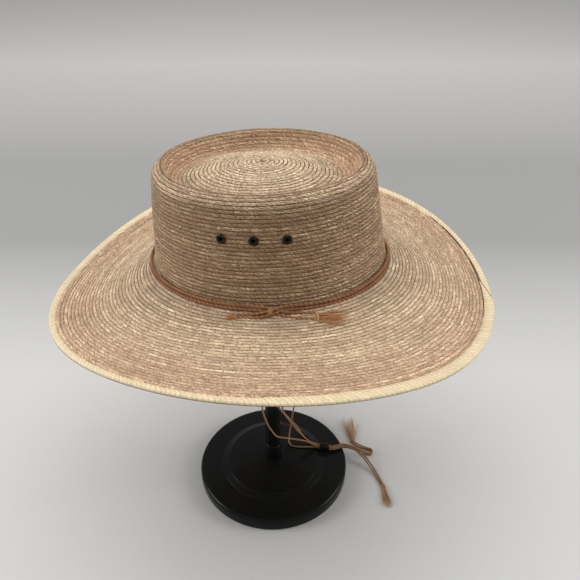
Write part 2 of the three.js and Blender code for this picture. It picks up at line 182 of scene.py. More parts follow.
def startMaterial(name):
    material = bpy.data.materials.new(name)
    material.use_nodes = True
    tree = material.node_tree
    tree.nodes.clear()
    shader = addNode(tree, "ShaderNodeBsdfPrincipled")
    tree.links.new(shader.outputs["BSDF"], addNode(tree, "ShaderNodeOutputMaterial").inputs["Surface"])
    return material, tree, shader.inputs


def addBump(tree, shader, height, strength, distance):
    bump = addNode(tree, "ShaderNodeBump")
    setInputs(tree, bump.inputs, {"Strength": strength, "Distance": distance, "Height": height})
    plug(tree, shader["Normal"], bump.outputs["Normal"])


# Plaited rows read from a UV map: U in millimetres along the plait, V in whole rows across it.
# A pattern's two numbers say how often it changes in a millimetre along and in a row across.
plaitPatterns = {"wander": (0.16, 0.9), "streak": (0.1, 3.4), "speck": (0.42, 4.6), "rowTone": (0.014, 0.83)}


def makeBraidGroup():
    group, given, out = startGroup("plaitedRows", [
        ("Rows", "Vector", None), ("Strand", "Float", 4.4), ("Slant", "Float", 1.3),
        ("Seam Width", "Float", 0.16), ("Waver", "Float", 3.2), ("Seed", "Float", 0.0),
    ], ("Tone", "Streak", "Speck", "Row Tone", "Gap", "Seam", "Height"))
    along, level, _ = splitVector(group, given["Rows"])
    row = calc(group, "FLOOR", level)
    across = calc(group, "SUBTRACT", level, row)

    def drawn(pattern, crossways):
        often = plaitPatterns[pattern]
        x, y = times(group, along, often[0]), times(group, crossways, often[1])
        return noiseOf(group, joinVector(group, x, y, given["Seed"]), 1.0)

    phase = calc(group, "DIVIDE", along, given["Strand"])
    phase = timesPlus(group, across, given["Slant"], phase)
    phase = timesPlus(group, drawn("wander", level), given["Waver"], phase)
    cell = calc(group, "FLOOR", phase)
    hump = calc(group, "SINE", times(group, calc(group, "SUBTRACT", phase, cell), math.pi))
    plug(group, out["Gap"], remap(group, hump, 0.6, 0.1))
    # The row's border is scalloped by the strands that turn under it
    border = calc(group, "MINIMUM", across, calc(group, "SUBTRACT", 1.0, across))
    wide = given["Seam Width"]
    ragged = timesPlus(group, times(group, hump, wide), 0.3, border)
    plug(group, out["Seam"], remap(group, ragged, times(group, wide, 1.3), times(group, wide, 0.6)))
    single = addNode(group, "ShaderNodeTexWhiteNoise", noise_dimensions="3D")
    plug(group, single.inputs["Vector"], joinVector(group, cell, row, given["Seed"]))
    plug(group, out["Tone"], single.outputs["Value"])
    # Long thin straws along the row, short dark flecks, and stretches of a row with one tone
    plug(group, out["Streak"], drawn("streak", level))
    plug(group, out["Speck"], drawn("speck", level))
    plug(group, out["Row Tone"], drawn("rowTone", row))
    rise = calc(group, "POWER", calc(group, "SINE", times(group, across, math.pi)), 0.5)
    plug(group, out["Height"], times(group, rise, timesPlus(group, hump, 0.5, 0.5)))
    return group


# Twisted fibres of a two-ply cord read from a UV map: U in millimetres along it, V once round it
def makeTwistGroup():
    group, given, out = startGroup("twistedFibres", [
        ("Cord", "Vector", None), ("Twist", "Float", 7.0), ("Plies", "Float", 2.0),
    ], ("Valley", "Fibre", "Height"))
    along, around, _ = splitVector(group, given["Cord"])
    turned = calc(group, "SUBTRACT", around, calc(group, "DIVIDE", along, given["Twist"]))
    lobe = calc(group, "FRACT", times(group, turned, given["Plies"]))
    bulge = calc(group, "SINE", times(group, lobe, math.pi))
    plug(group, out["Valley"], remap(group, bulge, 0.55, 0.1))
    streak = joinVector(group, times(group, along, 0.35), times(group, turned, 26.0))
    fibre = noiseOf(group, streak, 1.0, 3.0, 0.6)
    plug(group, out["Fibre"], fibre)
    plug(group, out["Height"], timesPlus(group, fibre, 0.45, bulge))
    return group


# Dust that settles on faces that look up, as a thin film and as specks, and fine scuffs
def makeDustGroup():
    group, given, out = startGroup("lightDust", [("Amount", "Float", 0.3)], ("Dust", "Scuff"))
    place = objectPlace(group)
    facing = splitVector(group, addNode(group, "ShaderNodeNewGeometry").outputs["Normal"])
    lying = remap(group, facing[2], 0.3, 1.0)
    patch = remap(group, noiseOf(group, place, 38.0, 3.0), 0.35, 0.75)
    film = times(group, times(group, patch, lying), given["Amount"])
    specks = times(group, remap(group, noiseOf(group, place, 1800.0), 0.6, 0.8), lying)
    plug(group, out["Dust"], timesPlus(group, specks, times(group, given["Amount"], 0.8), film))
    plug(group, out["Scuff"], remap(group, noiseOf(group, place, 900.0, 4.0, 0.7), 0.45, 0.8))
    return group


braidGroup = makeBraidGroup()
twistGroup = makeTwistGroup()
dustGroup = makeDustGroup()


# Straw: zones run across all the rows, as (share of the way, (red, green, blue, strength of the seams))
def strawMaterial(name, settings):
    material, tree, shader = startMaterial(name)
    woven = useGroup(tree, braidGroup, {
        "Rows": uvMap(tree, "plait"), "Strand": settings["strand"], "Slant": settings["slant"],
        "Seam Width": settings["seamWidth"], "Waver": settings["waver"], "Seed": settings["seed"],
    })
    place = objectPlace(tree)
    across = splitVector(tree, uvMap(tree, "zone"))[1]
    # The zones waver most at the first row and not at all at the last
    waver = times(tree, calc(tree, "SUBTRACT", noiseOf(tree, place, 9.0), 0.5), settings["zoneWaver"])
    zone = timesPlus(tree, waver, calc(tree, "SUBTRACT", 1.0, across), across)
    base = colourRamp(tree, zone, settings["zones"])
    # Single strands and whole stretches of a row are lighter or darker
    strands, rows = settings["strandSpread"], settings["rowSpread"]
    colour = tint(tree, base, woven["Tone"], [(0.0, grey(1 - strands)), (1.0, grey(1 + strands * 0.8))])
    colour = tint(tree, colour, woven["Row Tone"], [(0.3, grey(1 - rows)), (0.7, grey(1 + rows))])
    # Light straws keep to the light stretches
    rowTone = calc(tree, "SUBTRACT", woven["Row Tone"], 0.5)
    straws = timesPlus(tree, rowTone, 0.5, woven["Streak"])
    light = remap(tree, straws, settings["lightFrom"], settings["lightFrom"] + 0.09)
    dark = remap(tree, woven["Speck"], 0.53, 0.62)
    blotch = remap(tree, noiseOf(tree, place, 26.0, 3.0, 0.6), 0.5, 0.72)
    for mask, share, shade in ((light, "lightShare", "lightStraw"), (dark, "darkShare", "darkStraw"),
                               (blotch, "blotchShare", "blotch")):
        colour = mixColour(tree, times(tree, mask, settings[share]), colour, settings[shade])
    fine = noiseOf(tree, place, 1400.0)
    colour = tint(tree, colour, fine, [(0.3, (0.78, 0.76, 0.73)), (0.7, grey(1.15))])
    uneven = remap(tree, noiseOf(tree, place, 130.0, 3.0), 0.35, 0.58, 0.5, 1.0)
    seam = times(tree, times(tree, woven["Seam"], uneven), base.node.outputs["Alpha"])
    shade = calc(tree, "MAXIMUM", seam, times(tree, woven["Gap"], settings["gapShade"]))
    setInputs(tree, shader, {
        "Base Color": mixColour(tree, shade, colour, settings["gapColour"]),
        "Roughness": remap(tree, fine, 0.2, 0.8, 0.58, 0.78), "Specular IOR Level": 0.35,
    })
    addBump(tree, shader, timesPlus(tree, fine, 0.12, woven["Height"]), settings["bump"], 0.0009)
    return material


def cordMaterial(name, light, dark, twist):
    material, tree, shader = startMaterial(name)
    twisted = useGroup(tree, twistGroup, {"Cord": uvMap(tree, "cord"), "Twist": twist})
    aged = remap(tree, noiseOf(tree, objectPlace(tree), 60.0, 3.0), 0.3, 0.75)
    lightness = timesPlus(tree, aged, 0.4, times(tree, twisted["Fibre"], 0.6))
    colour = mixColour(tree, lightness, dark, light)
    # The valleys between the plies are much darker: painted shade in the recesses
    colour = mixColour(tree, times(tree, twisted["Valley"], 0.85), colour, [part * 0.35 for part in dark])
    setInputs(tree, shader, {
        "Base Color": colour, "Roughness": 0.82, "Sheen Weight": 0.12, "Sheen Roughness": 0.5,
    })
    addBump(tree, shader, twisted["Height"], 0.55, 0.0004)
    return material


# Loose fibres: each has its own tone, picked by the whole number in its V
def fibreMaterial(name, light, dark):
    material, tree, shader = startMaterial(name)
    single = addNode(tree, "ShaderNodeTexWhiteNoise", noise_dimensions="1D")
    plug(tree, single.inputs["W"], calc(tree, "FLOOR", splitVector(tree, uvMap(tree, "cord"))[1]))
    colour = mixColour(tree, single.outputs["Value"], dark, light)
    setInputs(tree, shader, {"Base Color": colour, "Roughness": 0.75, "Sheen Weight": 0.2})
    addBump(tree, shader, noiseOf(tree, objectPlace(tree), 2500.0), 0.2, 0.0002)
    return material


def plasticMaterial(name, settings):
    material, tree, shader = startMaterial(name)
    dusted = useGroup(tree, dustGroup, {"Amount": settings["dust"]})
    rough = timesPlus(tree, dusted["Scuff"], 0.12, settings["roughness"])
    setInputs(tree, shader, {
        "Base Color": mixColour(tree, dusted["Dust"], settings["colour"], (0.32, 0.31, 0.3)),
        "Roughness": calc(tree, "MULTIPLY_ADD", dusted["Dust"], 0.5, rough, clamp=True),
        "Specular IOR Level": settings["specular"],
    })
    addBump(tree, shader, noiseOf(tree, objectPlace(tree), 260.0), 0.05, 0.0005)
    return material


# What all meshes share
def finishPiece(name, mesh, material, nodes, smooth=True):
    mesh.materials.append(material)
    if smooth:
        mesh.shade_smooth()
    piece = bpy.data.objects.new(name, mesh)
    scene.collection.objects.link(piece)
    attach(piece, "root")
    if nodes:
        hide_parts(*nodes)
    return piece


def toMesh(name, bm):
    mesh = bpy.data.meshes.new(name)
    bm.to_mesh(mesh)
    bm.free()
    return mesh


def addGrid(bm, columns, rows):
    corner = Matrix.Translation((0.5, 0.5, 0))
    return bmesh.ops.create_grid(bm, x_segments=columns, y_segments=rows, size=0.5, matrix=corner)["verts"]


def blend(first, second, start, end, at):
    share = (at - start) / (end - start)
    return (1 - share) * first + share * second


# Length done at each point of a line
def lengthAlong(line):
    return np.concatenate([[0], np.cumsum(np.linalg.norm(np.diff(line, axis=0), axis=1))])


# A smooth open line through points, in even steps, and its length
def smoothLine(points, step, samples=24):
    points = np.array(points, float)
    padded = np.vstack([2 * points[0] - points[1], points, 2 * points[-1] - points[-2]])
    pieces = []
    for i in range(len(padded) - 3):
        p0, p1, p2, p3 = padded[i:i + 4]
        k0, k1, k2, k3 = np.cumsum([0, *np.sqrt(np.linalg.norm(np.diff(padded[i:i + 4], axis=0), axis=1))])
        k = np.linspace(k1, k2, samples, endpoint=False)[:, None]
        a1, a2, a3 = blend(p0, p1, k0, k1, k), blend(p1, p2, k1, k2, k), blend(p2, p3, k2, k3, k)
        pieces.append(blend(blend(a1, a2, k0, k2, k), blend(a2, a3, k1, k3, k), k1, k2, k))
    line = np.vstack(pieces + [points[-1:]])
    run = lengthAlong(line)
    even = np.linspace(0, run[-1], max(2, round(run[-1] / step)) + 1)
    return np.stack([np.interp(even, run, line[:, i]) for i in range(3)], 1), run[-1]


# Sideways and upward directions along a line, carried without twist
def carriedFrames(line):
    ahead = np.gradient(line, axis=0)
    ahead /= np.linalg.norm(ahead, axis=1)[:, None]
    side = np.cross(ahead[0], (0.02, 0.03, 1.0))
    # A line that starts upright takes another side
    if np.linalg.norm(side) < 0.1:
        side = np.cross(ahead[0], (1.0, 0.0, 0.0))
    sides = []
    for direction in ahead:
        side = side - direction * side.dot(direction)
        side = side / np.linalg.norm(side)
        sides.append(side)
    sides = np.array(sides)
    return sides, np.cross(ahead, sides)


# A grid wrapped to a tube along a line in millimetres, where radius(run, angle) gives its surface.
# V keeps just under a whole turn, so that its whole number is the tube's label.
def wrapTube(bm, line, around, radius, label=0.0):
    layer = bm.loops.layers.uv.get("cord") or bm.loops.layers.uv.new("cord")
    steps = len(line) - 1
    verts = addGrid(bm, steps, around)
    sides, ups = carriedFrames(line)
    length = lengthAlong(line)[-1]
    places = {}
    for vert in verts:
        i, j = round(vert.co.x * steps), round(vert.co.y * around)
        run = length * i / steps
        places[vert] = (run, j / around * 0.98 + label)
        angle = 2 * math.pi * (j % around) / around
        out = math.cos(angle) * sides[i] + math.sin(angle) * ups[i]
        vert.co = Vector((line[i] + radius(run, angle) * out) * mm)
    for face in {face for vert in verts for face in vert.link_faces}:
        for loop in face.loops:
            loop[layer].uv = places[loop.vert]
    bmesh.ops.remove_doubles(bm, verts=verts, dist=1e-6)


def closeEnds(bm):
    edges = [edge for edge in bm.edges if edge.is_boundary]
    bmesh.ops.holes_fill(bm, edges=edges, sides=0)
    bmesh.ops.recalc_face_normals(bm, faces=bm.faces)


# Two plies laid round each other
def plyRadius(diameter, twist, depth=0.26):
    def radius(run, angle):
        lobe = math.cos(angle - 2 * math.pi * run / twist) ** 2
        return diameter / 2 * (1 - depth + depth * lobe)
    return radius


# Profile of (radius, height) in millimetres turned round Z
def spinProfile(bm, profile, steps, closed=False):
    verts = [bmesh.ops.create_vert(bm, co=(r * mm, 0, z * mm))["vert"][0] for r, z in profile]
    edges = [bm.edges.new(pair) for pair in zip(verts, verts[1:])]
    if closed:
        edges.append(bm.edges.new((verts[-1], verts[0])))
    bmesh.ops.spin(bm, geom=verts + edges, cent=(0, 0, 0), axis=(0, 0, 1), angle=2 * math.pi, steps=steps,
                   use_merge=True)
    bmesh.ops.remove_doubles(bm, verts=bm.verts, dist=1e-6)
    bmesh.ops.recalc_face_normals(bm, faces=bm.faces)


# Rounds the corners of a profile: a corner's third number is the reach of its arc
def roundProfile(profile, segments=4):
    out = [profile[0]]
    for i in range(1, len(profile) - 1):
        corner, before, after = (np.array(profile[k][:2], float) for k in (i, i - 1, i + 1))
        if len(profile[i]) < 3:
            out.append(tuple(corner))
            continue
        back, ahead = before - corner, after - corner
        backLength, aheadLength = np.linalg.norm(back), np.linalg.norm(ahead)
        reach = min(profile[i][2], backLength * 0.48, aheadLength * 0.48)
        first, last = corner + back / backLength * reach, corner + ahead / aheadLength * reach
        for t in np.linspace(0, 1, segments + 1):
            out.append(tuple((1 - t) ** 2 * first + 2 * t * (1 - t) * corner + t ** 2 * last))
    out.append(profile[-1])
    return out


# Chin cord
chinCord = {
    "diameter": 2.0, "twist": 6.4, "step": 0.75, "around": 10,
    "light": (0.37, 0.195, 0.077), "dark": (0.195, 0.085, 0.028),
}
# The four runs from their sewn ends in the crown to their frayed ends, in metres
chinRoutes = {
    "chin_cord_near_1": [
        (-.0174, -.0765, .272), (-.0148, -.0585, .2215), (-.0121, -.04, .1695), (-.0094, -.022, .1187),
        (-.0091, -.015, .1009), (-.007, -.0113, .0874), (-.0047, -.0099, .0773), (-.0007, -.0099, .0686),
        (.0044, -.0096, .0601), (.0106, -.007, .0556), (.018, -.003, .05), (.0343, .006, .0364),
        (.0423, .0092, .0286), (.04695, .01155, .0234), (.05086, .01155, .02256), (.06162, .01155, .02028),
        (.0655, .01155, .01944), (.0708, .0136, .0185), (.0776, .0163, .0176), (.0863, .0144, .0162),
        (.0962, .0109, .0104), (.1036, .0025, .0059), (.1093, -.0056, .0027), (.113, -.015, .00135),
        (.1169, -.0263, .00135),
    ],
    "chin_cord_near_2": [
        (-.0096, -.0777, .2726), (-.0051, -.0552, .2175), (-.0005, -.0327, .1623), (.0031, -.0149, .1186),
        (.004, -.0106, .1074), (.0084, -.0086, .098), (.0129, -.0056, .0873), (.019, -.001, .0718),
        (.0255, .0032, .0563), (.0333, .0086, .0398), (.0412, .0122, .0276), (.04695, .01385, .0234),
        (.05086, .01385, .02256), (.06162, .01385, .02028), (.0655, .01385, .01944), (.0708, .016, .0185),
        (.0776, .0187, .0176), (.0869, .0168, .0162), (.0979, .0129, .0103), (.1058, .0043, .0058),
        (.1115, -.0046, .0027), (.1154, -.0146, .00135), (.1192, -.0258, .00135),
    ],
    "chin_cord_far_1": [
        (.0176, .0763, .2748), (.0192, .0622, .2048), (.0208, .0481, .1346), (.0224, .034, .0644),
        (.0208, .0302, .052), (.0189, .0264, .0384), (.017, .0218, .0254), (.0171, .0171, .0228),
        (.0194, .0124, .0229), (.024, .0107, .0226), (.034, .011, .0217), (.04647, .01155, .02116),
        (.05038, .01155, .02032), (.06114, .01155, .01804), (.06505, .01155, .0172), (.0704, .0136, .0162),
        (.0776, .0163, .0152), (.0845, .0172, .0131), (.092, .0176, .0091), (.1, .0174, .0044),
        (.106, .017, .0019), (.1102, .0184, .00135), (.1114, .0211, .00135), (.1102, .0238, .00135),
        (.106, .0256, .00135), (.0975, .0292, .00135), (.0886, .0374, .00135),
    ],
    "chin_cord_far_2": [
        (.0098, .0777, .2744), (.0096, .0765, .19), (.0093, .0753, .105), (.0089, .074, .04),
        (.009, .0734, .0245), (.0098, .0713, .0176), (.012, .0678, .0158), (.0165, .061, .016),
        (.022, .052, .0172), (.0255, .045, .0192), (.0296, .0344, .0207), (.0356, .024, .021),
        (.0415, .0174, .0213), (.04647, .01385, .02116), (.05038, .01385, .02032), (.06114, .01385, .01804),
        (.06505, .01385, .0172), (.0704, .016, .0162), (.0776, .0187, .0152), (.0845, .0198, .0142),
        (.092, .0192, .0114), (.1002, .018, .0069), (.1063, .0172, .0043), (.1104, .0184, .0037),
        (.1116, .0211, .0037), (.1104, .0239, .0037), (.106, .0258, .0037), (.0986, .03, .0034),
        (.0905, .0388, .00135),
    ],
}
chinMaterial = cordMaterial("chinCordFibre", chinCord["light"], chinCord["dark"], chinCord["twist"])


def makeChinRun(name, points):
    line, length = smoothLine(np.array(points) * 1000, chinCord["step"])
    bm = bmesh.new()
    wrapTube(bm, line, chinCord["around"], plyRadius(chinCord["diameter"], chinCord["twist"]))
    closeEnds(bm)
    piece = finishPiece(name + "_twisted", toMesh(name + "_twisted", bm), chinMaterial, [name])
    return piece, line, length


chinRuns = {name: makeChinRun(name, points) for name, points in chinRoutes.items()}
print("chin cord laid:", {name: round(run[2], 1) for name, run in chinRuns.items()})


# Frayed end: fibres fan out from a head at the start and are bound by a few turns of thread
def makeTassel(name, settings, material, nodes):
    random = np.random.default_rng(settings["seed"])
    tones, ringSteps = 97, 12
    head, flat = settings["head"], settings["flat"]
    start, end = np.array(settings["start"], float), np.array(settings["end"], float)
    length = np.linalg.norm(end - start)
    ahead = (end - start) / length
    up = np.array(settings["up"], float)
    up -= ahead * up.dot(ahead)
    up /= np.linalg.norm(up)
    side = np.cross(up, ahead)
    bm = bmesh.new()
    for k in range(settings["fibres"]):
        angle, ring = random.uniform(0, 2 * math.pi), math.sqrt(random.uniform(0, 1))
        sideways, upward = math.cos(angle) * ring, math.sin(angle) * ring
        root = side * sideways * head + up * upward * head * flat
        fan = (sideways * 0.75 + random.uniform(-0.3, 0.3)) * settings["spread"] / 2
        rise = (upward * 0.6 + random.uniform(-0.1, 0.4)) * settings["rise"]
        reach = length * random.uniform(settings["shortest"], 1.0)
        wave = random.uniform(-1, 1) * settings["wave"]
        points = []
        for share in (0.0, 0.18, 0.45, 0.75, 1.0):
            grow = share ** settings["flare"]
            point = start + ahead * reach * share + root * (1 - 0.5 * share)
            point += side * (fan * grow + wave * math.sin(share * 5 + k)) + up * rise * grow
            if "floor" in settings:
                point[2] = max(point[2], settings["floor"])
            points.append(point)
        fibre, _ = smoothLine(points, reach / 9)
        thick = settings["fibre"] * random.uniform(0.7, 1.25)
        wrapTube(bm, fibre, 4, lambda run, turn: thick / 2 * (1 - 0.55 * run / reach), label=float(k % tones))
    for k in range(settings.get("turns", 0)):
        thread = settings["thread"]
        wide = head + thread * 0.5
        ring = []
        for step in range(ringSteps + 1):
            angle = 2 * math.pi * step / ringSteps
            slid = settings["bindAt"] + thread * (k * 1.05 + step / ringSteps)
            turned = (side * math.cos(angle) + up * math.sin(angle) * flat) * wide
            ring.append(start + ahead * slid + turned)
        loop, _ = smoothLine(ring, 0.8)
        wrapTube(bm, loop, 5, lambda run, turn: thread / 2, label=tones + 3.0)
    closeEnds(bm)
    return finishPiece(name, toMesh(name, bm), material, nodes)


# Places and sizes in millimetres; both ends lie on the floor
chinFrayMaterial = fibreMaterial("chinFray", (0.53, 0.305, 0.135), (0.27, 0.13, 0.046))
chinFray = {"up": (0, 0, 1), "flat": 0.62, "thread": 0.45, "floor": 0.25}
longTassel = chinFray | {
    "start": (118, -24.2, 1.55), "end": (121.6, -55, 1.9), "head": 1.9, "spread": 12.5, "rise": 2.2,
    "fibres": 40, "fibre": 0.62, "shortest": 0.68, "flare": 1.5, "wave": 0.6, "turns": 3, "bindAt": 2.2,
    "seed": 3,
}
shortTassel = chinFray | {
    "start": (90.6, 37.6, 1.6), "end": (86.6, 76, 3.4), "head": 1.7, "spread": 25, "rise": 3.2,
    "fibres": 24, "fibre": 0.8, "shortest": 0.65, "flare": 1.0, "wave": 0.9, "turns": 4, "bindAt": 1.6,
    "seed": 5,
}
longFray = makeTassel("chinTasselLong", longTassel, chinFrayMaterial, ["chin_tassel_long"])
shortFray = makeTassel("chinTasselShort", shortTassel, chinFrayMaterial, ["chin_tassel_short"])

# Slider
slider = {
    "centre": (56, 12.7, 20.3), "tilt": 12, "length": 10, "diameter": 8.6, "bore": 6,
    "plastic": {"colour": (0.0035, 0.0035, 0.0035), "roughness": 0.42, "dust": 0.01, "specular": 0.13},
}


def makeSlider():
    half, outer, bore = slider["length"] / 2, slider["diameter"] / 2, slider["bore"] / 2
    rim = [(bore, 0.5), (bore + 0.35, 0), (outer - 0.9, 0), (outer - 0.15, 0.7), (outer, 2.2)]
    lower, upper = [(r, z - half) for r, z in rim], [(r, half - z) for r, z in reversed(rim)]
    profile = lower + [(outer - 0.25, 0)] + upper
    bm = bmesh.new()
    spinProfile(bm, profile, 40, closed=True)
    place = Matrix.Translation(Vector(slider["centre"]) * mm)
    turned = Matrix.Rotation(math.radians(slider["tilt"]), 4, "Y") @ Matrix.Rotation(math.radians(90), 4, "Y")
    bmesh.ops.transform(bm, matrix=place @ turned, verts=bm.verts)
    material = plasticMaterial("sliderBlack", slider["plastic"])
    return finishPiece("sliderBead", toMesh("sliderBead", bm), material, ["chin_slider"])


sliderPiece = makeSlider()
print("chin cord ends and slider made")

# Stand
stand = {
    "foot": 79.5, "rim": 13.9, "ring": 55, "ringHeight": 15, "plate": 48.5, "plateHeight": 18.8, "middle": 23,
    "collar": 8.6, "collarTop": 42, "pole": 8, "capRadius": 62, "capHalf": 46, "height": 358.7, "capEdge": 4,
    "gap": 0.3,
    "plastic": {"colour": (0.0056, 0.006, 0.0058), "roughness": 0.2, "dust": 0.003, "specular": 0.13},
}


# Outlines as (radius, height), with a third number where a corner is rounded
def makeStand():
    foot, rim, ring, ringHeight = (stand[key] for key in ("foot", "rim", "ring", "ringHeight"))
    plate, plateHeight, middle, gap = (stand[key] for key in ("plate", "plateHeight", "middle", "gap"))
    collar, collarTop, pole, cap = (stand[key] for key in ("collar", "collarTop", "pole", "capHalf"))
    base = [
        (0, 0), (foot - 1.2, 0), (foot, 1.4, 0.8), (foot, rim - 2, 1.6), (foot - 2.2, rim, 2.4),
        (ring + 1.2, ringHeight - 0.05, 0.9), (ring, ringHeight + 0.7, 1.0),
        (plate + 1.4, plateHeight - 0.9, 1.6), (plate, plateHeight, 1.9),
        (collar + 9, middle - 0.6, 4), (collar + 2, middle, 0.8), (0, middle),
    ]
    sleeve = [
        (0, middle + gap), (collar, middle + gap, 0.4), (collar, collarTop - 1, 0.7),
        (collar - 0.6, collarTop, 0.5), (0, collarTop),
    ]
    radius, domeSteps = stand["capRadius"], 16
    centre = stand["height"] - radius
    rimAngle = math.asin(cap / radius)
    under = centre + radius * math.cos(rimAngle) - stand["capEdge"]
    angles = [rimAngle * (1 - i / domeSteps) for i in range(domeSteps + 1)]
    dome = [(radius * math.sin(angle), centre + radius * math.cos(angle)) for angle in angles]
    lid = [(0, under), (cap - 2, under, 1.2), (cap, under + 1.5, 0.8), (*dome[0], 1.5), *dome[1:]]
    tube = [(0, collarTop + gap), (pole, collarTop + gap, 0.4), (pole, under - gap, 0.4), (0, under - gap)]
    material = plasticMaterial("glossBlackPlastic", stand["plastic"])
    outlines = {"base": (base, 160), "collar": (sleeve, 64), "pole": (tube, 64), "cap": (lid, 96)}
    for name, (profile, steps) in outlines.items():
        bm = bmesh.new()
        spinProfile(bm, roundProfile(profile), steps)
        label = "stand" + name.capitalize()
        piece = finishPiece(label, toMesh(label, bm), material, ["stand_" + name])
        crease = piece.modifiers.new("edges", "BEVEL")
        crease.width = 0.2 * mm
        crease.segments = 2
        crease.limit_method = "ANGLE"
        crease.angle_limit = math.radians(50)


makeStand()
print("stand made")

# How the hat sits on the stand's cap
hatSeat = {"turn": -10.1, "roll": -2.55, "pitch": 0.5, "gap": 0.3, "middleInside": 85.6}


def makeHatMatrix():
    turned = (Matrix.Rotation(math.radians(hatSeat["pitch"]), 4, "X")
              @ Matrix.Rotation(math.radians(hatSeat["roll"]), 4, "Y")
              @ Matrix.Rotation(math.radians(hatSeat["turn"]), 4, "Z"))
    above = (stand["capRadius"] + hatSeat["gap"] - hatSeat["middleInside"]) / (turned @ Vector((0, 0, 1))).z
    return Matrix.Translation((0, 0, stand["height"] - stand["capRadius"] + above)) @ turned


hatMatrix = makeHatMatrix()
hatInMetres = Matrix.Translation(hatMatrix.translation * mm) @ hatMatrix.to_3x3().to_4x4()
hatTurned = np.array(hatMatrix.to_3x3())
hatPlace = np.array(hatMatrix.translation)


# From the hat's frame to the world's, both in millimetres
def toWorld(points):
    return points @ hatTurned.T + hatPlace


# Crown and brim shapes
crown = {
    "length": 200, "width": 165.5, "topLength": 179.8, "topWidth": 152.7, "height": 90.8, "ridge": 12.3,
    "creaseInset": 23, "creaseDepth": 15.2, "creaseShift": -2.5, "middle": 88, "wall": 2.4,
    "rowPitch": 3.2, "steps": 352, "perRow": 2, "relief": (-0.3, 0.22), "soften": 1.2, "tableStep": 0.4,
    # Degrees of the ridge's arc
    "ridgeStep": 8, "ridgeEnd": 64,
    # Millimetres in from the ridge's outside, and share of the crease's depth
    "crease": [(8.8, 0.06), (10.0, 0.02), (11.0, 0.06), (11.8, 0.16), (13.6, 0.48), (16.0, 0.8), (19.5, 0.97),
               (23.5, 1.0)],
    # Share of the way out from the middle, and of its height over the crease
    "dome": [(0.86, 0.17), (0.6, 0.6), (0.3, 0.9), (0, 1)],
}
brim = {
    "width": 97.2, "wall": 2.2, "droop": {"front": 17.8, "back": 20.7, "side": 0.1},
    "sag": {"front": 9.5, "back": 1.8, "side": 5.6}, "footRise": 2.2, "footReach": 8, "inside": -0.8,
    "outside": 89, "rowPitch": 3.05, "steps": 440, "perRow": 3, "relief": (-0.3, 0.12, 0.2),
    "shadeFrom": 0.97, "shadeTurn": 65,
}


# Crown section from foot to middle: half length, half width, height and shift, at even steps along it
def crownSection():
    shoulder, low = crown["height"] - crown["ridge"], crown["height"] - crown["creaseDepth"]
    topA, topB = crown["topLength"] / 2, crown["topWidth"] / 2
    rows = [(crown["length"] / 2, crown["width"] / 2, 0, 0)]
    for angle in np.radians(np.arange(0, crown["ridgeEnd"] + 1, crown["ridgeStep"])):
        inset = crown["ridge"] * (1 - math.cos(angle))
        rows.append((topA - inset, topB - inset, shoulder + crown["ridge"] * math.sin(angle), 0))
    first, last = crown["crease"][0][0], crown["crease"][-1][0]
    for inset, down in crown["crease"]:
        shift = crown["creaseShift"] * (inset - first) / (last - first)
        rows.append((topA - inset, topB - inset, crown["height"] - crown["creaseDepth"] * down, shift))
    for reach, up in crown["dome"]:
        rows.append(((topA - crown["creaseInset"]) * reach, (topB - crown["creaseInset"]) * reach,
                     low + (crown["middle"] - low) * up, crown["creaseShift"] * reach))
    rows = np.array(rows, float)
    run = lengthAlong(np.stack([(rows[:, 0] + rows[:, 1]) / 2, rows[:, 2]], 1))
    even = np.arange(0, run[-1], crown["tableStep"])
    table = np.stack([np.interp(even, run, rows[:, i]) for i in range(4)], 1)
    reach = round(crown["soften"] / crown["tableStep"])
    window = np.ones(2 * reach + 1) / (2 * reach + 1)
    for _ in range(2):
        padded = np.pad(table, ((reach, reach), (0, 0)), mode="reflect", reflect_type="odd")
        table = np.stack([np.convolve(padded[:, i], window, "valid") for i in range(4)], 1)
    table[-1] = (0, 0, table[-1, 2], 0)
    return even, table


crownRun, crownTable = crownSection()


def crownSurface(turn, run):
    a, b, z, shift = (np.interp(run, crownRun, crownTable[:, i]) for i in range(4))
    return np.stack([shift + a * np.cos(turn), b * np.sin(turn), z], -1)


# Value at a direction, from those at the front, the back and both sides
def aroundHat(ends, direction):
    middle = (ends["front"] + ends["back"]) / 2
    return (ends["side"] + (middle - ends["side"]) * (1 + np.cos(2 * direction)) / 2
            + (ends["back"] - ends["front"]) / 2 * np.cos(direction))


def brimSurface(turn, out):
    a, b = crown["length"] / 2, crown["width"] / 2
    x, y = b * np.cos(turn), a * np.sin(turn)
    size = np.hypot(x, y)
    x, y = x / size, y / size
    direction = np.arctan2(y, x)
    droop = np.radians(aroundHat(brim["droop"], direction))
    share = out / brim["width"]
    foot = brim["footRise"] * np.clip(1 - out / brim["footReach"], 0, 1) ** 2
    z = foot - out * np.sin(droop) - aroundHat(brim["sag"], direction) * 4 * share * (1 - share)
    level = out * np.cos(droop)
    return np.stack([a * np.cos(turn) + x * level, b * np.sin(turn) + y * level, z], -1)


# Outward normal of a surface, from a small step each way
def normalsOf(surface, turn, run, upward):
    turnStep, runStep = 0.002, 0.4
    sideways = surface(turn + turnStep, run) - surface(turn - turnStep, run)
    across = surface(turn, run + runStep) - surface(turn, run - runStep)
    normal = np.cross(across, sideways) if upward else np.cross(sideways, across)
    size = np.linalg.norm(normal, axis=-1, keepdims=True)
    normal = normal / np.maximum(size, 1e-9)
    normal[size[..., 0] < 1e-4] = (0, 0, 1)
    return normal


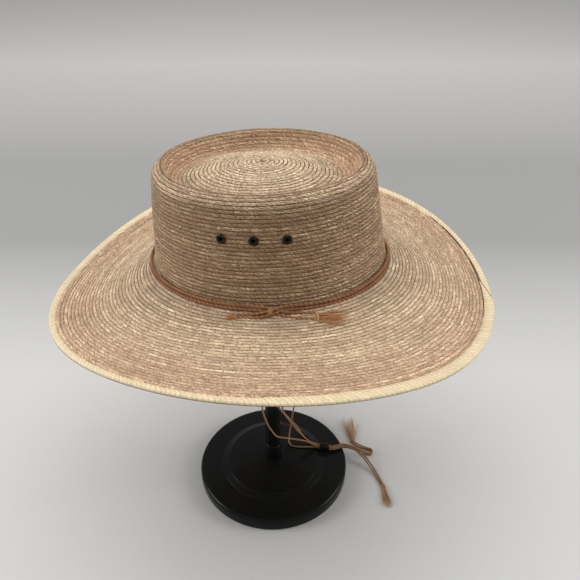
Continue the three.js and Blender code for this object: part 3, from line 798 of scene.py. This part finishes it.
# Point over the brim: degrees round from the back, millimetres out from the crown and above the straw
def overBrim(degrees, out, above):
    turn, out = np.radians(np.array([degrees], float)), np.array([out], float)
    square = normalsOf(brimSurface, turn, out, True)
    flat = np.clip(out / brim["footReach"], 0, 1)[:, None]
    way = np.array([[0, 0, 1.0]]) * (1 - flat) + square * flat
    way = way / np.linalg.norm(way)
    return (brimSurface(turn, out) + way * above)[0]


# A flat grid as a mesh, with the column and row of each vertex and the vertex of each face corner
def flatGrid(name, columns, rows):
    bm = bmesh.new()
    addGrid(bm, columns, rows)
    mesh = toMesh(name, bm)
    places = np.empty(len(mesh.vertices) * 3, np.float32)
    mesh.vertices.foreach_get("co", places)
    column, row = np.round(places.reshape(-1, 3)[:, :2].astype(float) * (columns, rows)).T
    corner = np.empty(len(mesh.loops), np.int32)
    mesh.loops.foreach_get("vertex_index", corner)
    return mesh, column, row, corner


def addUv(mesh, name, u, v):
    values = np.stack([u, v], 1).astype(np.float32).ravel()
    mesh.uv_layers.new(name=name).uv.foreach_set("vector", values)


# Puts a grid's vertices at their places in the hat's frame and merges those that meet
def shapeGrid(mesh, places):
    mesh.vertices.foreach_set("co", (toWorld(places) * mm).astype(np.float32).ravel())
    bm = bmesh.new()
    bm.from_mesh(mesh)
    bpy.data.meshes.remove(mesh)
    bmesh.ops.remove_doubles(bm, verts=bm.verts, dist=2e-6)
    bmesh.ops.recalc_face_normals(bm, faces=bm.faces)
    return bm


# One long plait sewn in a spiral: a grid whose rows each climb one row's width in a full turn
def layStraw(name, surface, upward, low, high, settings, waver, lastZone):
    pitch, perRow, steps = settings["rowPitch"], settings["perRow"], settings["steps"]
    strips = math.ceil((high - low) / pitch) + 1
    mesh, column, level, corner = flatGrid(name, steps, strips * perRow)
    share = column / steps
    turn = 2 * np.pi * share
    run = np.clip((level / perRow + share - 1) * pitch + low, low, high)
    # Length along the whole spiral, in millimetres, read from a few points in each turn
    perTurn = 96
    turnsDone = np.arange(0, strips + 1, 1 / perTurn)
    spiral = surface(2 * np.pi * turnsDone, np.clip((turnsDone - 0.5) * pitch + low, low, high))
    strip = np.repeat(np.floor(level[corner].reshape(-1, 4).min(1) / perRow), 4)
    along = np.interp(strip + share[corner], turnsDone, lengthAlong(spiral))
    zone = np.minimum((run - low) / (high - low), lastZone(turn))
    addUv(mesh, "plait", along, level[corner] / perRow)
    addUv(mesh, "zone", share[corner], zone[corner])
    lift = np.array(settings["relief"])[(level % perRow).astype(int)] + waver(turn, run)
    return shapeGrid(mesh, surface(turn, run) + normalsOf(surface, turn, run, upward) * lift[:, None])


def addWall(piece, thickness):
    wall = piece.modifiers.new("wall", "SOLIDIFY")
    wall.thickness = thickness * mm
    wall.offset = -1


eyelets = {
    "perSide": 3, "spacing": 15, "backTurn": 5.2, "height": 59.5, "bore": 3.0, "barrel": 5, "flange": 7.6,
    "reach": 3.6, "hole": 1.78, "black": (0.017, 0.011, 0.007), "bare": (0.24, 0.17, 0.10),
}


def eyeletTurns(side):
    places = [(i - 1) * eyelets["spacing"] + eyelets["backTurn"] for i in range(eyelets["perSide"])]
    return [side * math.radians(90 - place) for place in places]


# Place of an eyelet on the crown's side and the way out of it, in the hat's frame
def eyeletSeat(turn):
    side = crown["height"] - crown["ridge"]
    share = eyelets["height"] / side
    a = (crown["length"] + (crown["topLength"] - crown["length"]) * share) / 2
    b = (crown["width"] + (crown["topWidth"] - crown["width"]) * share) / 2
    place = Vector((a * math.cos(turn), b * math.sin(turn), eyelets["height"]))
    out = Vector((b * math.cos(turn), a * math.sin(turn), 0)).normalized()
    out.z = (crown["width"] - crown["topWidth"]) / 2 / side
    return place, out.normalized()


# Crown straw: a dark crest line of seam and painted shade, reddish on the wall inside it, cream in the middle
crownStraw = {
    "strand": 4.2, "slant": 1.3, "seamWidth": 0.17, "waver": 3.2, "seed": 1.0, "zoneWaver": 0.025,
    "zones": [
        (0, (0.5, 0.35, 0.205, 0.9)), (0.2, (0.44, 0.29, 0.162, 0.85)), (0.4, (0.42, 0.275, 0.155, 0.9)),
        (0.46, (0.45, 0.305, 0.185, 0.95)), (0.515, (0.6, 0.44, 0.29, 0.9)), (0.525, (0.45, 0.3, 0.18, 1)),
        # The stop at 0.532 is the crest's deep seam, darkened further as painted shade
        (0.532, (0.24, 0.145, 0.08, 1)), (0.54, (0.52, 0.35, 0.215, 0.7)), (0.56, (0.63, 0.405, 0.252, 0.35)),
        (0.64, (0.65, 0.43, 0.268, 0.35)), (0.7, (0.8, 0.62, 0.415, 0.9)), (1, (0.84, 0.65, 0.44, 1)),
    ],
    "strandSpread": 0.22, "rowSpread": 0.17, "lightFrom": 0.58, "lightShare": 0.75,
    "lightStraw": (0.86, 0.70, 0.46), "darkShare": 0.8, "darkStraw": (0.18, 0.10, 0.05), "blotchShare": 0.2,
    "blotch": (0.42, 0.21, 0.11), "gapShade": 0.6, "gapColour": (0.085, 0.045, 0.022), "bump": 1.0,
}
# Brim straw: greyer by the crown, cream rows in the middle, pinkish outwards, then the braid's painted shadow
brimStraw = {
    "strand": 4.6, "slant": -1.2, "seamWidth": 0.2, "waver": 3.2, "seed": 2.0, "zoneWaver": 0.16,
    "zones": [
        (0, (0.54, 0.405, 0.265, 1)), (0.2, (0.57, 0.435, 0.282, 1)), (0.42, (0.67, 0.505, 0.333, 0.85)),
        (0.56, (0.66, 0.48, 0.315, 0.65)), (0.75, (0.63, 0.44, 0.29, 0.55)),
        # The two dark stops at the end are painted shadow under the edge braid's inner border
        (0.982, (0.62, 0.42, 0.275, 0.5)), (0.987, (0.15, 0.085, 0.048, 0.5)), (1, (0.12, 0.065, 0.035, 0.5)),
    ],
    "strandSpread": 0.2, "rowSpread": 0.16, "lightFrom": 0.585, "lightShare": 0.85,
    "lightStraw": (0.95, 0.81, 0.54), "darkShare": 0.75, "darkStraw": (0.24, 0.135, 0.075),
    "blotchShare": 0.22, "blotch": (0.52, 0.29, 0.175), "gapShade": 0.25, "gapColour": (0.1, 0.055, 0.028),
    "bump": 0.9,
}


# Sewn rows never lie quite level
def crownWaver(turn, run):
    return 0.25 * np.sin(3 * turn + run * 0.05) + 0.2 * np.sin(5 * turn + 1.3 - run * 0.09)


def brimWaver(turn, run):
    waves = 0.35 * np.sin(4 * turn + run * 0.06) + 0.25 * np.sin(7 * turn + 0.9 - run * 0.05)
    return waves * np.clip(run / 30, 0, 1)


# How far across the zones run: the last, the braid's painted shadow, shows at the back right only
def edgeShade(turn):
    shown = np.clip(1.5 * np.cos(turn - math.radians(brim["shadeTurn"])) + 0.1, 0, 1)
    return brim["shadeFrom"] + (1 - brim["shadeFrom"]) * shown


def makeCrown():
    bm = layStraw("crownStraw", crownSurface, False, 0, crownRun[-1], crown, crownWaver, np.ones_like)
    for turn in eyeletTurns(-1) + eyeletTurns(1):
        centre = (hatMatrix @ eyeletSeat(turn)[0]) * mm
        holed = [vert for vert in bm.verts if (vert.co - centre).length < eyelets["hole"] * mm]
        faces = {face for vert in holed for face in vert.link_faces}
        bmesh.ops.delete(bm, geom=list(faces), context="FACES")
    loose = [vert for vert in bm.verts if not vert.link_faces]
    bmesh.ops.delete(bm, geom=loose, context="VERTS")
    material = strawMaterial("crownStraw", crownStraw)
    piece = finishPiece("crownPlait", toMesh("crownPlait", bm), material, ["crown", "crown_top"])
    addWall(piece, crown["wall"])


def makeBrim():
    bm = layStraw("brimStraw", brimSurface, True, brim["inside"], brim["outside"], brim, brimWaver, edgeShade)
    material = strawMaterial("brimStraw", brimStraw)
    piece = finishPiece("brimPlait", toMesh("brimPlait", bm), material, ["brim"])
    addWall(piece, brim["wall"])


makeCrown()
makeBrim()
print("crown and brim sewn")

# Edge braid: degrees are round the crown from the back, and its end lies over its start
edge = {
    "inside": 88.2, "outside": 97.5, "middle": 93.0, "top": 1.5, "under": -1.7, "steps": 2600, "around": 16,
    "nearOutside": 3.0, "nearTurn": 240, "nearFade": 2.6, "start": -4.0, "endInside": 9.5, "lap": 8.5,
    "lapWidth": 0.6, "lapLift": 1.2, "lapThinner": 0.35, "lapBorder": 0.8, "climb": 6, "scallop": 0.12,
    "weaveWidth": 9, "trackSteps": 2000,
    # How round its section is across and upwards: 1 is a circle, and less is squarer
    "corners": (0.45, 0.5),
    # Shares across the braid: its light part, and the border that is dark as painted shadow
    "light": (0.16, 0.84), "dark": 0.995,
}
edgeStraw = {
    "strand": 3.8, "slant": -1.7, "seamWidth": 0.09, "waver": 0.8, "seed": 3.0, "zoneWaver": 0.0,
    "zones": [(0.0, (0.73, 0.59, 0.37, 1.6)), (0.5, (0.80, 0.68, 0.46, 1.6)), (1.0, (0.77, 0.64, 0.42, 1.6))],
    "strandSpread": 0.06, "rowSpread": 0.04, "lightFrom": 0.62, "lightShare": 0.4,
    "lightStraw": (0.93, 0.84, 0.62), "darkShare": 0.2, "darkStraw": (0.58, 0.43, 0.24), "blotchShare": 0.2,
    "blotch": (0.66, 0.50, 0.32), "gapShade": 0.2, "gapColour": (0.12, 0.065, 0.03), "bump": 1.0,
}


# A wave with its tops flattened, for the braid's rounded section
def flattened(wave, power):
    return np.sign(wave) * np.abs(wave) ** power


def makeEdge():
    steps, around, start, inside = edge["steps"], edge["around"], edge["start"], edge["inside"]
    mesh, column, row, corner = flatGrid("edgeGrid", steps, around)
    share = column / steps
    angle = 2 * np.pi * (row % around) / around
    end = 360 + edge["endInside"]
    degrees = start + (end - start) * share
    turn = np.radians(degrees)
    # The end narrows towards the inner edge and climbs over the start
    lapping = np.clip((degrees - (end - edge["lap"])) / edge["lap"], 0, 1)
    climb = np.clip((degrees - (360 + start - edge["climb"])) / edge["climb"], 0, 1)
    nearness = np.clip(1 - edge["nearFade"] * (1 - np.cos(turn - math.radians(edge["nearTurn"]))), 0, 1)
    full = edge["outside"] - edge["nearOutside"] * nearness
    outside = full - (full - inside - edge["lapWidth"]) * lapping
    acrossPower, upPower = edge["corners"]
    wide, high = flattened(np.cos(angle), acrossPower), flattened(np.sin(angle), upPower)
    out = (outside + inside) / 2 + (outside - inside) / 2 * wide
    shares = np.linspace(0, 1, edge["trackSteps"])
    track = brimSurface(np.radians(start + (end - start) * shares), np.full(len(shares), edge["middle"]))
    along = np.interp(share, shares, lengthAlong(track))
    weave = along / edgeStraw["strand"] + (out - inside) / edge["weaveWidth"] * edgeStraw["slant"]
    scallop = edge["scallop"] * np.cos(2 * np.pi * weave)
    thick, level = (edge["top"] - edge["under"]) / 2, (edge["top"] + edge["under"]) / 2
    above = level + thick * high * (1 - edge["lapThinner"] * lapping) + scallop * (high > 0)
    above += climb ** 2 * edge["lapLift"] * (1 + 0.5 * (high < 0))
    out = out + scallop * 0.7 * (wide > 0.5)
    # The outer border is dark: a seam with painted shadow where the end lies on top, painted shade low on the
    # side
    lightFrom, lightTo = edge["light"]
    across = 1 - (outside - out - edge["lapBorder"] * (lapping > 0)) / (full - inside)
    across = np.clip(across, lightFrom, np.where(lapping > 0, edge["dark"], lightTo))
    across = np.where((wide > 0.9) & (high < -0.3), edge["dark"], across)
    addUv(mesh, "plait", along[corner], across[corner])
    addUv(mesh, "zone", share[corner], across[corner])
    square = normalsOf(brimSurface, turn, out, True)
    bm = shapeGrid(mesh, brimSurface(turn, out) + square * (above + brimWaver(turn, out))[:, None])
    closeEnds(bm)
    material = strawMaterial("edgeStraw", edgeStraw)
    finishPiece("edgeBraid", toMesh("edgeBraid", bm), material, ["edge_braid"])


makeEdge()
print("edge braid sewn on")

# Hatband: two twisted cords, each from a right tail through the knot, round the crown and out as a left tail
band = {
    "diameter": 2.9, "twist": 7.6, "depth": 0.36, "step": 0.5, "around": 14,
    "light": (0.385, 0.16, 0.05), "dark": (0.16, 0.056, 0.016),
    "out": {"lower": 3.0, "upper": 2.0}, "rise": {"lower": 4.3, "upper": 6.4},
    "dip": 1.8, "dipTurn": -48, "dipWidth": 18, "roundFrom": -89, "roundStep": -9, "roundPoints": 38,
    "tailNumber": {"lower": 2, "upper": 1},
}
# Points over the brim, as (degrees round, millimetres out, millimetres above)
bandTails = {
    "lower": {
        "right": [(-60.8, 13.2, 1.8), (-66.9, 10, 1.8), (-71.5, 7.6, 1.9), (-74.5, 6, 2.1), (-77, 4.4, 2.7)],
        "crossing": [(-79.5, 3.2, 3.3), (-82.5, 2.8, 3.9)],
        "return": [(-75.5, 3.2, 3.9), (-77.5, 4.6, 4.3), (-79.5, 5.6, 4), (-81.5, 6.4, 3.3)],
        "left": [(-84.5, 7, 2.6), (-87.5, 7.4, 2), (-91.5, 7.9, 1.8), (-95.8, 9, 1.8)],
    },
    "upper": {
        "right": [(-60.5, 6.4, 1.9), (-66.5, 5, 2.2), (-71.5, 4.2, 3), (-74.5, 3.6, 3.9), (-77, 3, 4.9)],
        "crossing": [(-79.5, 2.4, 5.6), (-82.5, 1.9, 6.2)],
        "return": [(-75.5, 2.1, 5.9), (-77.5, 3.2, 6.3), (-79.5, 4.3, 6.2), (-81.5, 4.7, 5.5)],
        "left": [(-84.5, 4.9, 4.2), (-87.5, 4.9, 3), (-91.5, 5.2, 2.1), (-96, 6.4, 1.8)],
    },
}
bandMaterial = cordMaterial("bandCordFibre", band["light"], band["dark"], band["twist"])


# Place of a band cord beside the crown; both dip near the knot's right
def bandSeat(degrees, name):
    foot = brimSurface(np.radians(np.array([degrees])), np.array([band["out"][name]]))[0]
    past = (degrees - band["dipTurn"]) % 360
    dip = band["dip"] * sum(math.exp(-(away / band["dipWidth"]) ** 2) for away in (past, 360 - past))
    return foot + np.array((0, 0, band["rise"][name] - dip))


def makeBand():
    for name, tails in bandTails.items():
        number = band["tailNumber"][name]
        points = [overBrim(*point) for point in tails["right"] + tails["crossing"]]
        for k in range(band["roundPoints"]):
            points.append(bandSeat(band["roundFrom"] + k * band["roundStep"], name))
        points += [overBrim(*point) for point in tails["return"] + tails["left"]]
        line, length = smoothLine(points, band["step"])
        bm = bmesh.new()
        wrapTube(bm, toWorld(line), band["around"], plyRadius(band["diameter"], band["twist"], band["depth"]))
        closeEnds(bm)
        label = "bandCord" + name.capitalize()
        nodes = ["hatband_cord_" + name, f"hatband_tail_left_{number}", f"hatband_tail_right_{number}"]
        finishPiece(label, toMesh(label, bm), bandMaterial, nodes)
        print("band cord", name, round(length, 1))


makeBand()
bandFrayMaterial = fibreMaterial("bandFray", (0.58, 0.27, 0.088), (0.32, 0.118, 0.036))
hatUp = hatTurned @ np.array((0, 0, 1.0))
rightFray = {
    "start": toWorld(overBrim(-61.5, 9.8, 1.6)), "end": toWorld(overBrim(-49.6, 19, 2.6)), "up": hatUp,
    "head": 5.2, "flat": 0.4, "spread": 22, "rise": 2.4, "fibres": 130, "fibre": 0.5, "shortest": 0.6,
    "flare": 1.2, "wave": 0.6, "seed": 8,
}
leftFray = {
    "start": toWorld(overBrim(-93.2, 7.2, 1.9)), "end": toWorld(overBrim(-98.2, 8.4, 2.3)), "up": hatUp,
    "head": 3.7, "flat": 0.6, "spread": 8, "rise": 2.0, "fibres": 100, "fibre": 0.48, "shortest": 0.6,
    "flare": 1.1, "wave": 0.4, "seed": 9,
}
makeTassel("bandFrayRight", rightFray, bandFrayMaterial, ["hatband_tassel_right"])
makeTassel("bandFrayLeft", leftFray, bandFrayMaterial, ["hatband_tassel_left"])

# Thread wraps: the knot's over all four cords, and a pale one over the right tails
knotWrap = {
    "at": (-79.5, 3.9, 4.8), "wide": 3.8, "high": 3.1, "turns": 4, "thread": 0.75, "lean": 0.25,
    "light": (0.60, 0.28, 0.10), "dark": (0.36, 0.15, 0.05),
}
tailTie = {
    "at": (-61.0, 9.6, 2.0), "wide": 5.6, "high": 2.2, "turns": 2, "thread": 0.4, "lean": 0.8,
    "light": (0.85, 0.66, 0.42), "dark": (0.62, 0.42, 0.22),
}


def makeWrap(name, settings, nodes):
    degrees, out, above = settings["at"]
    turns, thread = settings["turns"], settings["thread"]
    perTurn, threadTwist = 16, 2.2
    centre = overBrim(degrees, out, above)
    ahead = overBrim(degrees + 1, out, above) - centre
    ahead = ahead / np.linalg.norm(ahead)
    up = np.array((0, 0, 1.0))
    side = np.cross(up, ahead)
    points = []
    for k in range(turns * perTurn + 1):
        angle = 2 * math.pi * k / perTurn
        slide = (k / (turns * perTurn) - 0.5) * turns * thread * 1.1 + settings["lean"] * math.sin(angle)
        swell = 1 + 0.03 * math.sin(k * 0.9)
        turned = side * math.cos(angle) * settings["wide"] + up * math.sin(angle) * settings["high"]
        points.append(centre + ahead * slide + turned * swell)
    line, _ = smoothLine(points, 0.5)
    bm = bmesh.new()
    wrapTube(bm, toWorld(line), 8, plyRadius(thread, threadTwist))
    closeEnds(bm)
    material = cordMaterial(name + "Thread", settings["light"], settings["dark"], threadTwist)
    finishPiece(name, toMesh(name, bm), material, nodes)


makeWrap("knotWrap", knotWrap, ["hatband_knot"])
makeWrap("tailTie", tailTie, [])
print("hatband tied")


# Eyelets: blackened, with the metal showing where an edge is worn
def metalMaterial():
    material, tree, shader = startMaterial("blackenedMetal")
    dusted = useGroup(tree, dustGroup, {"Amount": 0.15})
    place = objectPlace(tree)
    worn = remap(tree, noiseOf(tree, place, 700.0, 3.0), 0.52, 0.7)
    edges = remap(tree, addNode(tree, "ShaderNodeNewGeometry").outputs["Pointiness"], 0.52, 0.6)
    setInputs(tree, shader, {
        "Base Color": mixColour(tree, times(tree, worn, edges), eyelets["black"], eyelets["bare"]),
        "Roughness": timesPlus(tree, dusted["Scuff"], 0.2, 0.5), "Metallic": 0.1, "Specular IOR Level": 0.12,
    })
    addBump(tree, shader, noiseOf(tree, place, 1500.0), 0.08, 0.0002)
    return material


def makeEyelets():
    bore, barrel, flange = eyelets["bore"] / 2, eyelets["barrel"] / 2, eyelets["flange"] / 2
    inside = -crown["wall"] - eyelets["reach"]
    # The curled inner end, the barrel, and the rounded flange outside
    profile = [
        (bore, inside - 0.2), (bore + 0.2, inside - 0.55), (barrel + 0.5, inside - 0.7),
        (barrel + 1.0, inside - 0.4), (barrel + 0.9, inside), (barrel, inside + 0.2), (barrel, 0.25),
        (flange - 0.2, 0.25), (flange, 0.5), (flange - 0.25, 0.95), (flange - 0.9, 1.25), (bore + 0.75, 1.2),
        (bore + 0.2, 0.85), (bore, 0.3),
    ]
    material = metalMaterial()
    for side, word in ((-1, "near"), (1, "far")):
        for i, turn in enumerate(eyeletTurns(side)):
            place, out = eyeletSeat(turn)
            bm = bmesh.new()
            spinProfile(bm, profile, 32, closed=True)
            turned = Vector((0, 0, 1)).rotation_difference(out).to_matrix().to_4x4()
            seat = hatInMetres @ Matrix.Translation(place * mm) @ turned
            bmesh.ops.transform(bm, matrix=seat, verts=bm.verts)
            name = f"eyelet{word.capitalize()}{i + 1}"
            finishPiece(name, toMesh(name, bm), material, [f"eyelet_{word}_{i + 1}"])


makeEyelets()

# Sewn tabs that hold the chin cord, inside the crown
tab = {"size": (18, 3, 10), "rise": 1, "clear": 0.6, "edge": 0.9, "hem": (1.4, -0.3), "weave": 0.8}


def tapeMaterial():
    material, tree, shader = startMaterial("plainTape")
    place = objectPlace(tree)
    split = splitVector(tree, place)
    often = 2 * math.pi / (tab["weave"] * mm)
    warp, weft = (calc(tree, "SINE", times(tree, split[i], often)) for i in (0, 2))
    weave = timesPlus(tree, times(tree, warp, weft), 0.5, 0.5)
    worn = times(tree, noiseOf(tree, place, 120.0, 3.0), 0.5)
    colour = mixColour(tree, weave, (0.26, 0.17, 0.10), (0.42, 0.30, 0.19))
    colour = mixColour(tree, worn, colour, (0.5, 0.38, 0.26))
    setInputs(tree, shader, {"Base Color": colour, "Roughness": 0.9})
    addBump(tree, shader, weave, 0.5, 0.0002)
    return material


def makeTabs():
    material = tapeMaterial()
    x, y, z = tab["size"]
    hemWidth, hemDepth = tab["hem"]
    lean = (crown["width"] - crown["topWidth"]) / 2 / (crown["height"] - crown["ridge"])
    inner = crown["width"] / 2 - crown["wall"] - tab["clear"]
    for side, word in ((-1, "near"), (1, "far")):
        bm = bmesh.new()
        bmesh.ops.create_cube(bm, size=1, matrix=Matrix.Diagonal((x * mm, y * mm, z * mm, 1)))
        bmesh.ops.bevel(bm, geom=bm.edges, offset=tab["edge"] * mm, affect="EDGES", segments=3, profile=0.5,
                        material=-1)
        outward = [face for face in bm.faces if face.normal.y * side < -0.9]
        bmesh.ops.inset_region(bm, faces=outward, thickness=hemWidth * mm, depth=hemDepth * mm)
        place = Vector((0, side * (inner - lean * z - y / 2), tab["rise"] + z / 2)) * mm
        bmesh.ops.transform(bm, matrix=hatInMetres @ Matrix.Translation(place), verts=bm.verts)
        name = f"sewnTab{word.capitalize()}"
        finishPiece(name, toMesh(name, bm), material, [f"cord_anchor_{word}"], smooth=False)


makeTabs()
print("eyelets and tabs set")

# Floor and light: the floor's tones run from below the hat into the distance, darker behind it as painted
# shade
studio = {
    "floor": [
        (0.0, (0.585, 0.585, 0.58)), (0.04, (0.585, 0.585, 0.58)), (0.13, (0.33, 0.33, 0.327)),
        (0.22, (0.35, 0.35, 0.347)), (0.45, (0.70, 0.69, 0.68)),
    ],
    "floorSize": 12, "world": (0.95, 0.95, 0.945), "worldStrength": 0.43,
    "lamps": {
        "above": {"place": (0.0, 0.15, 2.6), "aim": (0, 0.05, 0.2), "size": 2.6, "power": 43.5,
                  "colour": (1.0, 0.985, 0.965)},
        "left": {"place": (-1.9, -0.15, 1.0), "aim": (0, 0, 0.28), "size": 1.0, "power": 20.0,
                 "colour": (1.0, 0.99, 0.97)},
        "right": {"place": (1.9, -0.1, 1.0), "aim": (0, 0, 0.28), "size": 1.0, "power": 17.0,
                  "colour": (1.0, 0.99, 0.97)},
    },
}


def makeFloor():
    bm = bmesh.new()
    bmesh.ops.create_grid(bm, x_segments=1, y_segments=1, size=studio["floorSize"])
    floor = bpy.data.objects.new("floor", toMesh("floor", bm))
    scene.collection.objects.link(floor)
    material, tree, shader = startMaterial("paleFloor")
    # The dark stops of the ramp are painted shade of the light falling off behind the stand
    away = times(tree, splitVector(tree, objectPlace(tree))[1], 0.25)
    colour = colourRamp(tree, away, studio["floor"])
    setInputs(tree, shader, {"Base Color": colour, "Roughness": 0.7, "Specular IOR Level": 0.2})
    floor.data.materials.append(material)


def makeLights():
    world = bpy.data.worlds.new("studio")
    world.use_nodes = True
    background = world.node_tree.nodes["Background"].inputs
    background["Color"].default_value = (*studio["world"], 1)
    background["Strength"].default_value = studio["worldStrength"]
    scene.world = world
    for name, settings in studio["lamps"].items():
        light = bpy.data.lights.new(name, "AREA")
        light.size = settings["size"]
        light.energy = settings["power"]
        light.color = settings["colour"]
        lamp = bpy.data.objects.new(name, light)
        lamp.location = settings["place"]
        toAim = Vector(settings["aim"]) - Vector(settings["place"])
        lamp.rotation_euler = toAim.to_track_quat("-Z", "Y").to_euler()
        scene.collection.objects.link(lamp)
    scene.view_settings.view_transform = "Standard"


makeFloor()
makeLights()
print("floor and light set")
